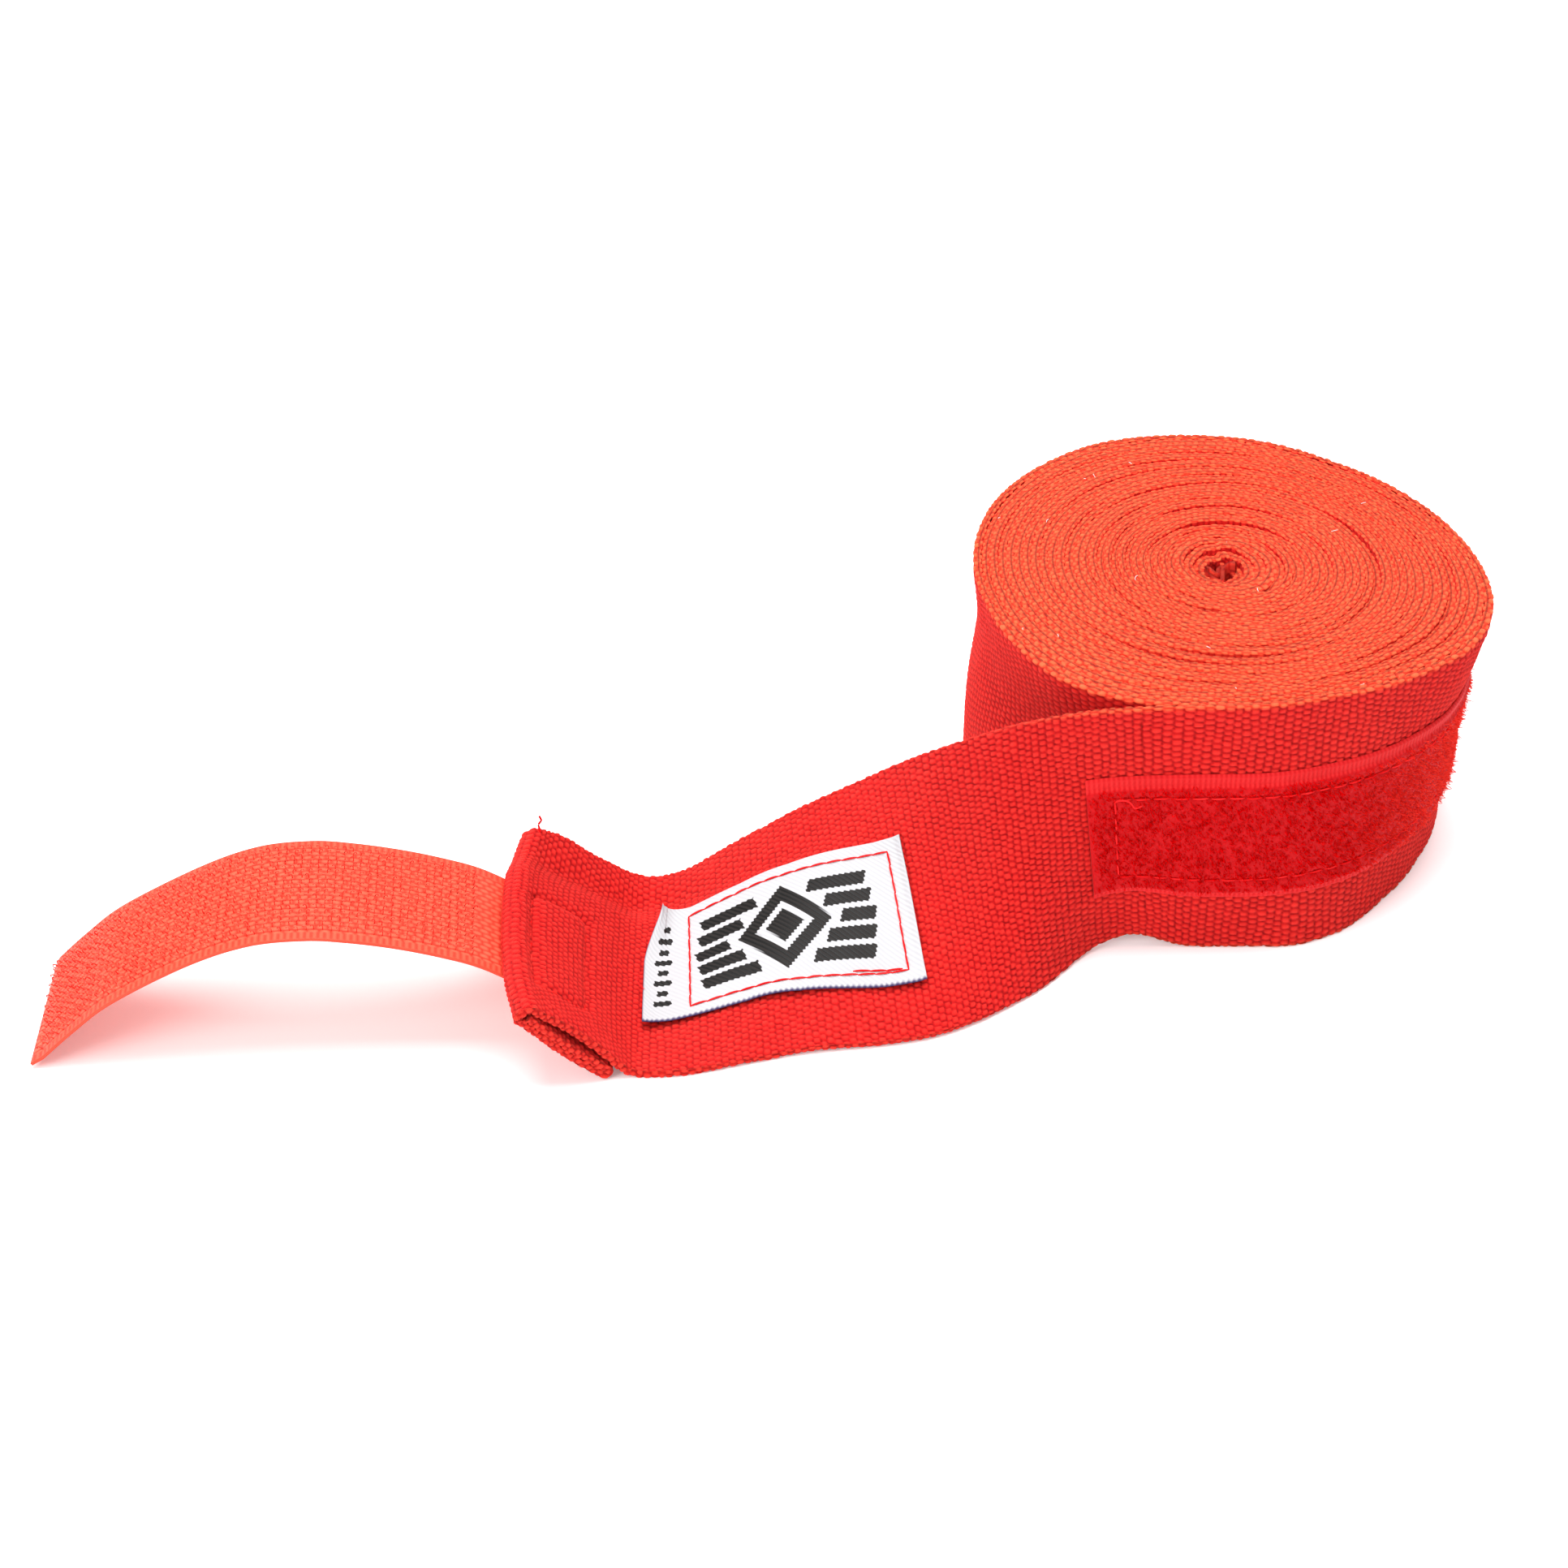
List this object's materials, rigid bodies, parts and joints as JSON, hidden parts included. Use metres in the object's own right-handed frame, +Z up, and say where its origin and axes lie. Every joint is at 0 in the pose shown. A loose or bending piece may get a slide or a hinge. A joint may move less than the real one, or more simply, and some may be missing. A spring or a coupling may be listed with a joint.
{
  "type": "hand wrap",
  "caption": "Rolled knit cotton hand wrap, 2 in wide, with hook and loop closure, sewn label and thumb loop; its free end peels, its hem and hook tab fold, its core slides.",
  "frame": {"origin": "on the table, at the axis of the roll", "axes": "+Z up along the roll's axis; the free end with its label, hem and hook tape runs to -X and lies in front of the roll, at -Y"},
  "size_m": [0.244, 0.1188, 0.0509],
  "materials": {
    "cloth": "matte",
    "hook_tape": "satin",
    "loop_tape": "matte",
    "label": "satin",
    "thread": "satin"
  },
  "bodies": {
    "roll": {"outer_turns": "cloth", "loop_strip": "loop_tape", "loop_strip_stitching": "thread"},
    "core": {"inner_turns": "cloth", "thumb_loop": "cloth", "thumb_loop_stitching": "thread"},
    "tail": {"strap_tail": "cloth", "label": "label", "label_stitching": "thread"},
    "closure_end": {"hem_top": "cloth", "hem_turned_edge": "cloth", "hook_strip_root": "hook_tape", "hem_stitching": "thread"},
    "hook_tab": {"hook_strip": "hook_tape"}
  },
  "joints": [
    {"name": "core_slide", "type": "slide", "parent": "roll", "child": "core", "axis": [0, 0, 1], "range_m": [0, 0.012]},
    {"name": "tail_peel", "type": "hinge", "parent": "roll", "child": "tail", "pos_m": [-0.0248, -0.04242, 0], "axis": [0, 0, 1], "range_deg": [0, 60]},
    {"name": "hem_fold", "type": "hinge", "parent": "tail", "child": "closure_end", "pos_m": [-0.1003, -0.05075, 0.00057], "axis": [0, 1, 0], "range_deg": [-30, 50]},
    {"name": "hook_fold", "type": "hinge", "parent": "closure_end", "child": "hook_tab", "pos_m": [-0.12306, -0.0567, 0.0162], "axis": [-0.0645, 0.9979, 0], "range_deg": [-35, 90]}
  ]
}
